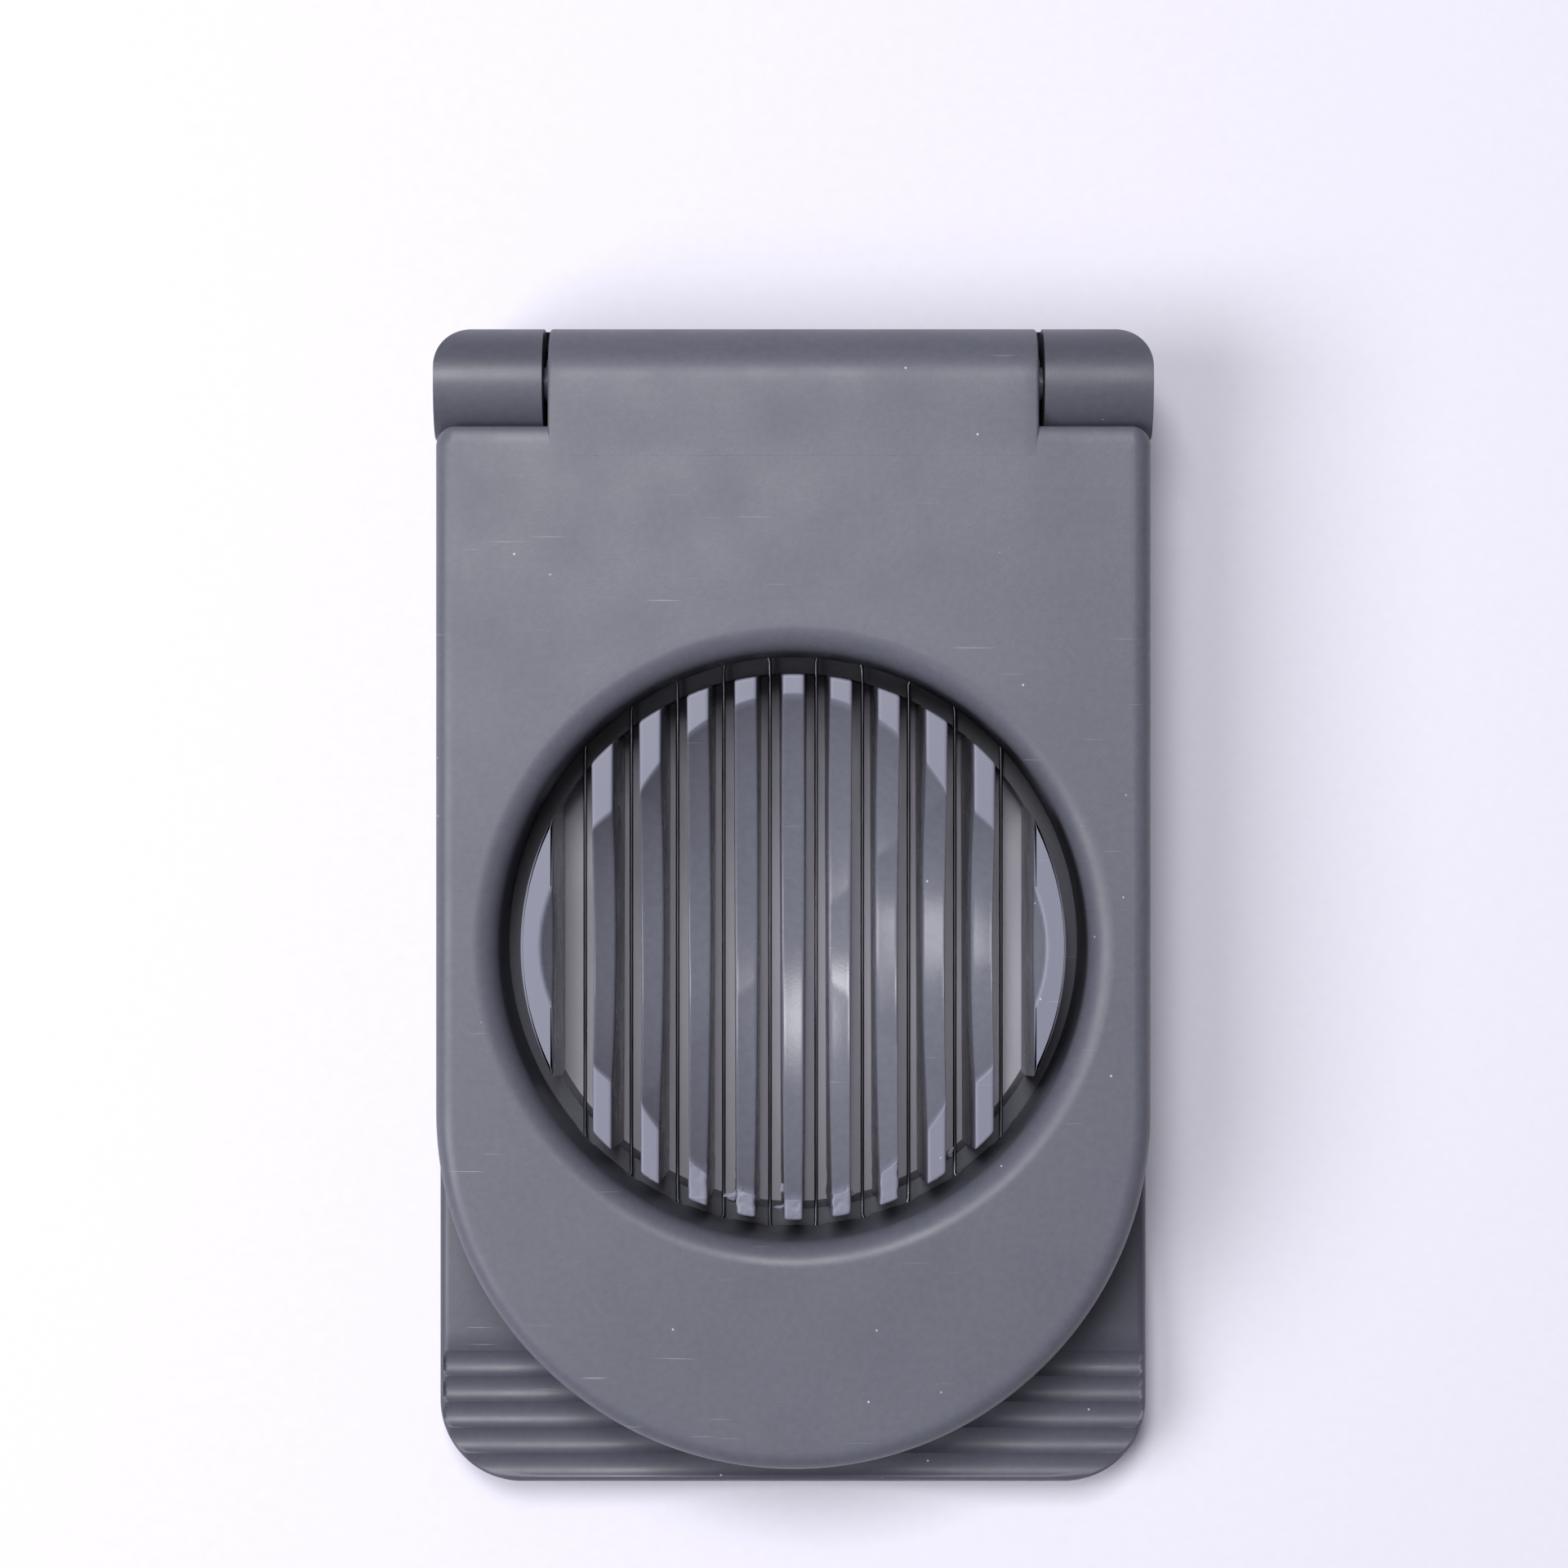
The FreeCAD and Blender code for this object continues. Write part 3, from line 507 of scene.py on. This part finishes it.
def bar_piece(number):
    """One cradle bar: a closed section carried from the front of the cradle to the rear.

    The section is wall, edge round, top, edge round, wall.  Its top follows the egg hollow, its width
    grows evenly from front to rear, and rows gather at the two rim corners and at both ends.
    """
    x_middle = (number - (bar_count - 1) / 2) * bar_pitch
    # Row places: -2 front end, -1 front rim corner, 1 rear rim corner, 2 rear end.
    t = spaced((-2, -1.9, 5), (-1.9, -1.1, 9), (-1.1, -0.97, 5), (-0.97, 0.97, 130), (0.97, 1.1, 5),
               (1.1, 1.9, 9), (1.9, 2, 5))[:, None]
    # Points round the section: one wall, its edge round, the top, then the other edge and wall.
    wall_share = np.linspace(0, 1, 9)[:-1]
    top_share = np.linspace(-1, 1, 9)[1:-1]
    walls = len(wall_share)
    edges = len(quarter(6))
    tops = len(top_share)
    round_in = 1 - np.cos(quarter(edges))
    round_down = 1 - np.sin(quarter(edges))
    side = np.concatenate([-np.ones(walls + edges), top_share, np.ones(walls + edges)])
    down = np.concatenate([wall_share, np.ones(edges + tops + edges), wall_share[::-1]])
    edge_in = np.concatenate([np.zeros(walls), round_in, np.ones(tops), round_in[::-1],
                              np.zeros(walls)])
    edge_drop = np.concatenate([np.ones(walls), round_down, np.zeros(tops), round_down[::-1],
                                np.ones(walls)])

    def row_y(x, radius):
        """Place along Y: evenly from end to rim corner, and evenly from rim corner to rim corner."""
        end = np.sqrt(radius ** 2 - x ** 2)
        rim = rim_reach(x)
        beyond = np.sign(t) * (rim + (np.abs(t) - 1) * (end - rim))
        return cradle_y + np.where(np.abs(t) <= 1, t * rim, beyond)

    def half_width_at(y, z):
        along = (y - (cradle_y - cradle_foot - MM)) / (2 * (cradle_foot + MM))
        top_width = bar_front_width + (bar_rear_width - bar_front_width) * along
        return top_width / 2 + (cradle_rim_z - z) * bar_draft

    middle_y = row_y(np.array([x_middle]), cradle_rim)
    end_gap = np.sqrt(cradle_rim ** 2 - x_middle ** 2) - np.abs(middle_y - cradle_y)
    lean = np.maximum(bar_end_round - end_gap, 0)
    end_drop = bar_end_round - np.sqrt(np.maximum(bar_end_round ** 2 - lean ** 2, 0))
    x_top = x_middle + side * (half_width_at(middle_y, cradle_rim_z) - bar_edge * edge_in)
    y_top = row_y(x_top, cradle_rim)
    z_top = hollow_height(x_top, y_top)
    torn = torn_front(x_middle) * smooth_step((cradle_y - 0.6 * rim_reach(x_middle) - y_top)
                                              / (9 * MM))
    torn = torn * (y_top < cradle_y - rim_reach(x_middle) + 0.3 * MM)
    z_top = z_top - end_drop - torn * torn_depth * (1 + ripple(x_top, y_top, z_top))
    z = bar_bottom + (z_top - bar_edge * edge_drop - bar_bottom) * down
    width = half_width_at(y_top, z) - bar_edge * edge_in - end_drop * 0.8
    width = width + torn * torn_ripple * ripple(y_top, z, x_top)
    x = x_middle + side * width
    y = row_y(x, envelope_radius(z))
    pale_start = cradle_rim_z - 0.06 * MM
    body = patch(x, y, z)
    floor = patch(np.stack([x[:, 0], x[:, -1]]), np.stack([y[:, 0], y[:, -1]]), bar_bottom)
    caps = []
    shrink = np.linspace(1, 0, 5)[:, None]
    for row, end in ((0, -1), (-1, 1)):
        cap_x = x_middle + (x[row] - x_middle) * shrink
        cap_y = cradle_y + end * np.sqrt(envelope_radius(z[row]) ** 2 - cap_x ** 2)
        caps.append(patch(cap_x, cap_y, z[row] + 0 * shrink))

    def pale(points):
        """1 on the flat rim and on torn ends, 0 down in the hollow and on the walls."""
        on_rim = smooth_step((points[:, 2] - pale_start + 0.25 * MM) / (0.2 * MM))
        rim_corner = cradle_y - rim_reach(x_middle) + 0.2 * MM
        at_front = torn_front(x_middle) * (points[:, 1] < rim_corner)
        streaks = 0.75 + 0.6 * ripple(points[:, 0], points[:, 1], points[:, 2])
        near_top = smooth_step((points[:, 2] - 22.5 * MM) / (2 * MM))
        whitened = at_front * np.clip(streaks, 0.2, 1.3) * near_top
        return np.clip(np.maximum(on_rim * 0.85, whitened), 0, 1.2)

    return make_piece("cradle_bar_moulding_%d" % (number + 1), [body, floor] + caps, bar_plastic_painted_highlight,
                      "base", ["cradle_bar_%d" % (number + 1)], sharp_deg=60,
                      attributes={"pale": pale})


def side_rest_piece(side):
    """One crescent rest beside the outer wires, hollowed by the cross-lying egg.

    Rows run along Y between the points where the inner face meets the cradle's outline.  The section
    is inner wall, edge round, hollow, rim, edge round, outer wall.
    """
    t = np.sin(np.linspace(-math.pi / 2, math.pi / 2, 91))[:, None]
    wall_share = np.linspace(0, 1, 9)[:-1]
    top_share = np.linspace(0, 1, 17)[1:-1]
    walls = len(wall_share)
    edges = len(quarter(6))
    tops = len(top_share)
    round_in = 1 - np.cos(quarter(edges))
    round_down = 1 - np.sin(quarter(edges))
    across = np.concatenate([np.zeros(walls + edges), top_share, np.ones(walls + edges)])
    down = np.concatenate([wall_share, np.ones(edges + tops + edges), wall_share[::-1]])
    # How far the edge rounds draw the section in: inwards is +X on the inner edge, -X on the outer.
    inwards = np.concatenate([np.zeros(walls), round_in, np.zeros(tops), -round_in[::-1],
                              np.zeros(walls)])
    drop = np.concatenate([np.ones(walls), round_down, np.zeros(tops), round_down[::-1],
                           np.ones(walls)])

    def place(radius):
        reach = np.sqrt(radius ** 2 - rest_inner ** 2)
        y = t * reach
        outer = np.sqrt(np.maximum(radius ** 2 - y ** 2, rest_inner ** 2))
        return y, outer

    y_top, outer_top = place(cradle_rim)
    room = np.minimum(bar_edge, (outer_top - rest_inner) * 0.45)
    x_top = rest_inner + (outer_top - rest_inner) * across + room * inwards
    z_top = hollow_height(x_top, y_top + cradle_y)
    z = bar_bottom + (z_top - room * drop - bar_bottom) * down
    y, outer = place(envelope_radius(z))
    x = rest_inner + (outer - rest_inner) * across + room * inwards
    body = patch(x, y + cradle_y, z)
    floor = patch(np.stack([x[:, 0], x[:, -1]]), np.stack([y[:, 0], y[:, -1]]) + cradle_y,
                  bar_bottom)
    patches = [body, floor]
    if side == "left":
        patches = mirrored(patches)

    def pale(points):
        return 0.85 * smooth_step((points[:, 2] - cradle_rim_z + 0.3 * MM) / (0.2 * MM))

    return make_piece("side_rest_moulding_" + side, patches, bar_plastic_painted_highlight, "base",
                      ["side_rest_" + side], sharp_deg=60, attributes={"pale": pale})


def flash_piece(name, middle, length, width, turn):
    """A torn flake of moulding flash: a thin chip with a ragged edge, closed all round.

    Seen from above its edge is an oval of radius 1 + 0.25 sin(3a + turn) + 0.12 sin(7a), and its
    thickness fades from the middle to the edge as the root of 1 - share squared.
    """
    thickness = 0.22 * MM
    around = np.linspace(0, 2 * math.pi, 33)[:-1]
    ragged = 1 + 0.25 * np.sin(3 * around + turn) + 0.12 * np.sin(7 * around)
    bend = np.linspace(0, math.pi, 13)[:, None]
    share = np.sin(bend) * ragged
    along = share * np.cos(around) * length / 2
    across = share * np.sin(around) * width / 2
    x = middle[0] + along * math.cos(turn) - across * math.sin(turn)
    y = middle[1] + along * math.sin(turn) + across * math.cos(turn)
    z = middle[2] + thickness / 2 * np.cos(bend) + 0.1 * MM * np.sin(4 * share + turn)
    return make_piece(name, [patch(x, y, z, around_columns=True)], bar_plastic_painted_highlight, "base",
                      sharp_deg=60, attributes={"pale": lambda points: np.ones(len(points))})


# ---------------------------------------------------------------- lid
def lid_outline():
    """The lid's plan by angle round the hole: points and outward directions.

    Shoulder line, shoulder corner, side, half circle, side, corner: each piece is sampled by its own
    length, then all are read off at angles that are even round the hole and closer at the corners.
    """
    side = lid_half_width
    corner = shoulder_corner
    arc_y = lid_front + side
    bend = quarter(40)
    straight = np.linspace(0, 1, 120)[1:-1]
    half_turn = np.linspace(0, -math.pi, 400)
    pieces = [
        ((side - corner) * straight, shoulder_y + 0 * straight, 0 * straight, 1 + 0 * straight),
        (side - corner + corner * np.sin(bend), shoulder_y - corner + corner * np.cos(bend),
         np.sin(bend), np.cos(bend)),
        (side + 0 * straight, shoulder_y - corner + (arc_y - shoulder_y + corner) * straight,
         1 + 0 * straight, 0 * straight),
        (side * np.cos(half_turn), arc_y + side * np.sin(half_turn),
         np.cos(half_turn), np.sin(half_turn)),
    ]
    x, y, nx, ny = np.concatenate(pieces, axis=1)
    keep = x >= 0
    x, y, nx, ny = x[keep], y[keep], nx[keep], ny[keep]
    angle = np.unwrap(np.arctan2(x, y - cradle_y))
    order = np.argsort(angle)
    corner_angle = math.atan2(side, shoulder_y - corner - cradle_y)
    corner_end = math.atan2(side - corner, shoulder_y - cradle_y)
    web_angle = math.atan2(barrel_half, shoulder_y - cradle_y)
    web_step = 0.0004
    wanted = np.unique(np.concatenate([
        np.linspace(0, math.pi, 300),
        np.linspace(corner_end, corner_angle, 16),
        [web_angle - web_step, web_angle + web_step],
    ]))
    values = [np.interp(wanted, angle[order], v[order]) for v in (x, y, nx, ny)]
    length = np.hypot(values[2], values[3])
    values[2] /= length
    values[3] /= length
    right = [wanted] + values
    signs = (-1, -1, 1, -1, 1)
    left = [sign * value[-2:0:-1] for sign, value in zip(signs, right)]
    return [np.concatenate([a, b]) for a, b in zip(right, left)]


def strand_x(number):
    """Where the numbered strand crosses, counted from the left."""
    return (number - (strand_count - 1) / 2) * bar_pitch


def lid_shell_piece():
    """Plate, outer wall and hole wall in one closed skin, as rows round the hole.

    Going round a section: down the outer wall from the plate, under its foot, up inside, along the
    plate's underside to the hole, down the hole wall's back, under its foot, up its leaning front,
    over the rolled lip and out along the top.  Rows on the wall are the outline moved in along its own
    direction; rows on the hole are circles; rows between go evenly from one to the other.
    """
    angle, x, y, nx, ny = lid_outline()
    rear = np.clip(ny, 0, 1) ** 2
    edge_drop = lid_edge + (shoulder_drop - lid_edge) * rear
    under_edge = 0.5 * MM
    rows = []

    def on_outline(inset, z):
        """One row: the outline moved in."""
        rows.append((x - nx * inset, y - ny * inset, z + 0 * x))

    def on_hole(radius, z):
        """One row: a circle round the hole."""
        rows.append((radius * np.sin(angle), cradle_y + radius * np.cos(angle), z + 0 * x))

    def across(share, inset, radius, z):
        """Rows at each share of the way from the outline to the circle."""
        near = np.stack([x - nx * inset, y - ny * inset])
        far = np.stack([radius * np.sin(angle), cradle_y + radius * np.cos(angle)])
        for s in share:
            mixed = near + (far - near) * s
            rows.append((mixed[0], mixed[1], z + 0 * x))

    wall_foot_z = lid_bottom + soft_corner
    for a in quarter(9):
        on_outline(lid_edge * (1 - math.sin(a)), lid_top - edge_drop * (1 - math.cos(a)))
    for share in np.linspace(0, 1, 15)[1:]:
        on_outline(0, (lid_top - edge_drop) * (1 - share) + wall_foot_z * share)
    for a in quarter(4)[1:]:
        on_outline(soft_corner * (1 - math.cos(a)), lid_bottom + soft_corner * (1 - math.sin(a)))
    for a in quarter(4):
        on_outline(wall - soft_corner * (1 - math.sin(a)),
                   lid_bottom + soft_corner * (1 - math.cos(a)))
    for share in np.linspace(0, 1, 6)[1:-1]:
        on_outline(wall, wall_foot_z + (lid_under - under_edge - lid_bottom) * share)
    for a in quarter(5):
        on_outline(wall + under_edge * (1 - math.cos(a)), lid_under - under_edge * (1 - math.sin(a)))
    outer_wall_rows = len(rows)
    across(np.linspace(0, 1, 14)[1:], wall + under_edge, hole_outer, lid_under)
    back_roll = hole_roll - wall
    for a in quarter(8)[1:]:
        on_hole(hole_outer - back_roll * math.sin(a), lid_under - back_roll * (1 - math.cos(a)))
    hole_wall_from = len(rows)
    roll_z = lid_top - hole_roll
    foot_radius = lip_radius - hole_draft
    for share in np.linspace(0, 1, 10)[1:]:
        on_hole(lip_radius + wall - hole_draft * share, roll_z + (wall_foot_z - roll_z) * share)
    on_hole(foot_radius + wall - soft_corner, lid_bottom)
    on_hole(foot_radius + soft_corner, lid_bottom)
    for share in np.linspace(1, 0, 12)[:-1]:
        on_hole(lip_radius - hole_draft * share, roll_z + (wall_foot_z - roll_z) * share)
    hole_wall_to = len(rows)
    for a in quarter(22):
        on_hole(hole_outer - hole_roll * math.cos(a), roll_z + hole_roll * math.sin(a))
    across(1 - np.linspace(0, 1, 26)[1:-1], lid_edge, hole_outer, lid_top)
    px, py, pz = (np.stack(values) for values in zip(*rows))

    row = np.arange(len(rows))[:, None]
    on_outer_wall = row < outer_wall_rows
    on_hole_wall = (row >= hole_wall_from) & (row < hole_wall_to)

    # The shoulders hollow out round the knuckles: nothing comes nearer the hinge axis than this.
    reach = knuckle_radius + shoulder_gap
    above = np.clip(pz - axis_z, 0, reach)
    limit = axis_y - np.sqrt(reach ** 2 - above ** 2)
    shoulder_angle = 0.95
    behind = (np.abs(angle) < shoulder_angle) & on_outer_wall & (pz < lid_top - 0.01 * MM)
    py = np.where(behind, np.minimum(py, limit), py)
    # Between the shoulders the rear stays open under the hinge barrel.
    web_sine = math.sin(math.atan2(barrel_half, shoulder_y - cradle_y))
    open_rear = (np.abs(np.sin(angle)) < web_sine) & (np.cos(angle) > 0)
    pz = np.where(open_rear & on_outer_wall, np.maximum(pz, lid_under), pz)
    # Notches let the wires through the hole wall's foot, at the front and the rear only.
    front_or_rear = np.abs(np.cos(angle)) > 0.55
    for number in range(strand_count):
        near = np.abs(px - strand_x(number)) < wire_notch_half_width
        cut = near & front_or_rear & on_hole_wall & (pz < wire_notch_top)
        pz = np.where(cut, wire_notch_top, pz)
    shell = patch(px, py, pz, around_rows=True, around_columns=True)
    return make_piece("lid_moulding", [shell], lid_plastic, "lid",
                      ["lid_plate", "lid_skirt", "lid_hole_wall"], sharp_deg=50)


def barrel_top(y):
    """Height of the lid's top between plate and hinge crown: one smooth step up."""
    start = knuckle_front - barrel_run_in
    return lid_top + (knuckle_high.z - lid_top) * smooth_step((y - start) / (axis_y - start))


def barrel_piece():
    """The hinge barrel: a hood drawn along X, with a round web at each end and one in the middle.

    The hood is the band between an outer and an inner path, both leaving the plate level and turning
    half round the hinge axis.  Each web is the filled outline, drawn in by a quarter circle at the
    outer ends.
    """
    start = knuckle_front - barrel_run_in
    run = np.linspace(start, axis_y, 16)[:-1]
    turn = np.linspace(math.pi / 2, -math.pi / 2, 49)
    outer_y = np.concatenate([run, axis_y + knuckle_radius * np.cos(turn)])
    outer_z = np.concatenate([barrel_top(run), axis_z + knuckle_radius * np.sin(turn)])
    inner_radius = knuckle_radius - wall
    inner_y = np.concatenate([run, axis_y + inner_radius * np.cos(turn)])
    inner_run_z = np.minimum(barrel_top(run) - wall + 0.1 * MM, axis_z + inner_radius)
    inner_z = np.concatenate([inner_run_z, axis_z + inner_radius * np.sin(turn)])
    web = wall
    section_y = np.concatenate([outer_y, inner_y[::-1]])
    section_z = np.concatenate([outer_z, inner_z[::-1]])
    patches = []
    bays = ((-barrel_half + web, -web / 2), (web / 2, barrel_half - web))
    for left, right in bays:
        x = np.linspace(left, right, 12)[:, None]
        patches.append(patch(x + 0 * section_y, section_y + 0 * x, section_z + 0 * x,
                             around_columns=True))
        for end in (left, right):
            patches.append(patch(end, np.stack([outer_y, inner_y]),
                                 np.stack([outer_z, inner_z])))
    under = np.linspace(-math.pi / 2, -math.pi, 20)[1:]
    web_y = np.concatenate([outer_y, axis_y + knuckle_radius * np.cos(under),
                            [knuckle_front, start]])
    web_z = np.concatenate([outer_z, axis_z + knuckle_radius * np.sin(under),
                            [lid_under, lid_under + 0.5 * MM]])
    middle = (axis_y - 1 * MM, axis_z + 1 * MM)
    end_round = 0.4 * MM

    def filled(x_steps, insets):
        """The web's outline at each x, drawn towards its middle by each inset, closed at both ends."""
        away = np.hypot(web_y - middle[0], web_z - middle[1])
        closed = np.zeros_like(away)
        share = np.stack([closed] + [1 - inset / away for inset in insets] + [closed])
        steps = np.array([x_steps[0], *x_steps, x_steps[-1]])
        return patch(steps[:, None] + 0 * share, middle[0] + (web_y - middle[0]) * share,
                     middle[1] + (web_z - middle[1]) * share, around_columns=True)

    bend = quarter(6)
    rounded_x = barrel_half - end_round * (1 - np.sin(bend))
    right_web = filled(np.concatenate([[barrel_half - web], rounded_x]),
                       np.concatenate([[0], end_round * (1 - np.cos(bend))]))
    middle_web = filled(np.array([-web / 2, web / 2]), np.zeros(2))
    patches += [right_web, middle_web] + mirrored([right_web])
    return make_piece("lid_hinge_barrel_moulding", patches, lid_plastic, "lid",
                      ["lid_hinge_barrel"], sharp_deg=45)


# ---------------------------------------------------------------- cutting wires
def peg_places():
    """Each peg as (x, y, end sign, strands hooked on it): two laced wires, left and right."""
    middle = strand_count // 2
    circle = lip_radius - hole_draft + wall + peg_wall_gap + peg_radius
    places = []
    for end, groups in ((-1, front_lacing), (1, rear_lacing)):
        for group in groups:
            for mirror in (1, -1):
                strands = [s if mirror == 1 else 2 * middle - 1 - s for s in group]
                x = sum(strand_x(s) for s in strands) / len(strands)
                if len(strands) == 1:
                    x += math.copysign(peg_offset, x)
                places.append((x, cradle_y + end * math.sqrt(circle ** 2 - x ** 2), end, strands))
    return places


def wire_end(x, end, peg_x, peg_y, shared):
    """Path from a strand's bend at the hole wall to its peg, and round it.

    A straight run that just touches the loop's circle, then an arc: to the back of a shared peg, or
    most of the way round a peg of its own.
    """
    bend_radius = lip_radius - hole_draft
    bend = np.array([x, cradle_y + end * math.sqrt(bend_radius ** 2 - x ** 2)])
    peg = np.array([peg_x, peg_y])
    loop = peg_radius + wire_radius + wire_seat
    span = np.hypot(*(peg - bend))
    side = math.copysign(1, x - peg_x) * end
    aim = math.atan2(peg_y - bend[1], peg_x - x) - side * math.asin(loop / span)
    touch = bend + np.array([math.cos(aim), math.sin(aim)]) * math.sqrt(span ** 2 - loop ** 2)
    start = math.atan2(touch[1] - peg_y, touch[0] - peg_x)
    back = math.pi / 2 * end
    sweep = side * (side * (back - start) % (2 * math.pi) if shared else own_peg_turn)
    turn = start + sweep * np.linspace(0, 1, 12 if shared else 30)
    run = touch + (bend - touch) * np.linspace(0.85, 0.15, 5)[:, None]
    around = np.stack([peg_x + loop * np.cos(turn), peg_y + loop * np.sin(turn)], axis=1)
    return np.concatenate([around[::-1], run])


def cutting_wire_piece(number):
    """One taut strand: a circle carried along the path peg, hole wall, straight across, wall, peg."""
    x = strand_x(number)
    ends = {}
    for peg_x, peg_y, end, strands in peg_places():
        if number in strands:
            ends[end] = wire_end(x, end, peg_x, peg_y, len(strands) > 1)
    reach = math.sqrt((lip_radius - hole_draft) ** 2 - x ** 2)
    straight_y = cradle_y + reach * 0.985 * np.linspace(-1, 1, 24)
    straight = np.stack([x + 0 * straight_y, straight_y], axis=1)
    path = np.concatenate([ends[-1], straight, ends[1][::-1]])
    ahead = np.gradient(path, axis=0)
    ahead /= np.linalg.norm(ahead, axis=1)[:, None]
    sideways = np.stack([ahead[:, 1], -ahead[:, 0]], axis=1)
    ring = np.linspace(0, 2 * math.pi, 13)[:-1]
    radius = np.concatenate([[0], np.full(len(path) - 2, wire_radius), [0]])[:, None]
    px = path[:, 0:1] + sideways[:, 0:1] * radius * np.cos(ring)
    py = path[:, 1:2] + sideways[:, 1:2] * radius * np.cos(ring)
    pz = wire_z + radius * np.sin(ring)
    name = "cutting_wire_strand_%02d" % (number + 1)
    return make_piece(name, [patch(px, py, pz, around_columns=True)], wire_steel, "lid",
                      ["cutting_wire_%02d" % (number + 1)], sharp_deg=60)


# ---------------------------------------------------------------- stage
camera_place = (-1.1 * MM, 15.5 * MM, 470 * MM)
# Each soft box: name, place (m), width and height (m), power (W); all face the slicer's middle.
soft_boxes = (
    ("left_box", (-0.5, -0.1, 0.66), (0.45, 0.5), 5),
    ("top_box", (-0.1, 0.36, 1.05), (0.3, 0.36), 7.5),
)
floor_half_width = 1.2
floor_depth = 0.05 * MM
floor_wave = 0.01 * MM


def floor_piece():
    """A wide flat sheet just under the slicer, its far part gently wavy by less than a hair."""
    lines = 25
    side = np.linspace(-floor_half_width, floor_half_width, lines)
    x, y = np.meshgrid(side, side)
    z = -floor_depth + floor_wave * np.sin(x * 9) * np.sin(y * 7)
    mesh = bpy.data.meshes.new("studio_floor")
    points = np.stack([x, y, z], axis=-1).reshape(-1, 3)
    mesh.from_pydata(points.tolist(), [], quads(lines, lines, False, False)[:, ::-1].tolist())
    mesh.shade_smooth()
    mesh.materials.append(studio_paper())
    floor = bpy.data.objects.new("studio_floor", mesh)
    bpy.context.scene.collection.objects.link(floor)


def soft_box(name, place, aim, size, power):
    """A rectangular studio light at a place, turned to face another."""
    light = bpy.data.lights.new(name, "AREA")
    light.shape = "RECTANGLE"
    light.size, light.size_y = size
    light.energy = power
    lamp = bpy.data.objects.new(name, light)
    lamp.location = place
    lamp.rotation_euler = (Vector(aim) - Vector(place)).to_track_quat("-Z", "Y").to_euler()
    bpy.context.scene.collection.objects.link(lamp)


def studio():
    """Camera straight above, one soft box at the left, one above and behind, an even surround."""
    scene = bpy.context.scene
    scene.view_settings.view_transform = "Standard"
    lens = bpy.data.cameras.new("studio_camera")
    lens.sensor_width = 36
    lens.lens = 87
    lens.clip_start = 10 * MM
    camera = bpy.data.objects.new("studio_camera", lens)
    camera.location = camera_place
    scene.collection.objects.link(camera)
    scene.camera = camera
    for name, place, size, power in soft_boxes:
        soft_box(name, place, (0, 0, 0), size, power)
    world = bpy.data.worlds.new("studio_surround")
    scene.world = world
    world.use_nodes = True
    surround = world.node_tree.nodes["Background"]
    surround.inputs["Color"].default_value = linear("#f4f4fa")
    surround.inputs["Strength"].default_value = 0.2


# ---------------------------------------------------------------- assembly
base_deck_piece()
for bar in range(bar_count):
    bar_piece(bar)
side_rest_piece("left")
side_rest_piece("right")
# Each flake: name, middle (mm), length (mm), width (mm), turn (radians)
for flake, middle, length, width, turn in (
    ("bar_flash_flake_left", (-7.2, -33.0, 22.8), 1.9, 1.0, 0.3),
    ("bar_flash_flake_middle", (-1.2, -32.2, 22.9), 1.1, 0.7, 1.9),
    ("bar_flash_film", (-1.5, -34.4, 22.6), 1.4, 0.5, 0.2),
    ("bar_flash_flake_right", (6.9, -32.6, 22.9), 1.2, 0.6, 2.6),
    ("bar_flash_burr_outer", (18.4, -28.0, 23.0), 1.3, 0.8, 0.8),
    ("side_rest_flash_burr", (28.6, -17.2, 23.2), 2.2, 0.6, 1.7),
):
    flash_piece(flake, np.array(middle) * MM, length * MM, width * MM, turn)
lid_shell_piece()
barrel_piece()
for strand in range(strand_count):
    cutting_wire_piece(strand)

for node, material in (
    ("base_skirt", base_plastic), ("base_rear_wall", base_plastic),
    ("hinge_knuckle_left", base_plastic), ("hinge_knuckle_right", base_plastic),
    ("hinge_stud_left", lid_plastic), ("hinge_stud_right", lid_plastic),
    ("wire_ledge_front", lid_plastic), ("wire_ledge_rear", lid_plastic),
    ("wire_pegs_front", lid_plastic), ("wire_pegs_rear", lid_plastic),
):
    frame["nodes"][node].data.materials[0] = material

floor_piece()
studio()
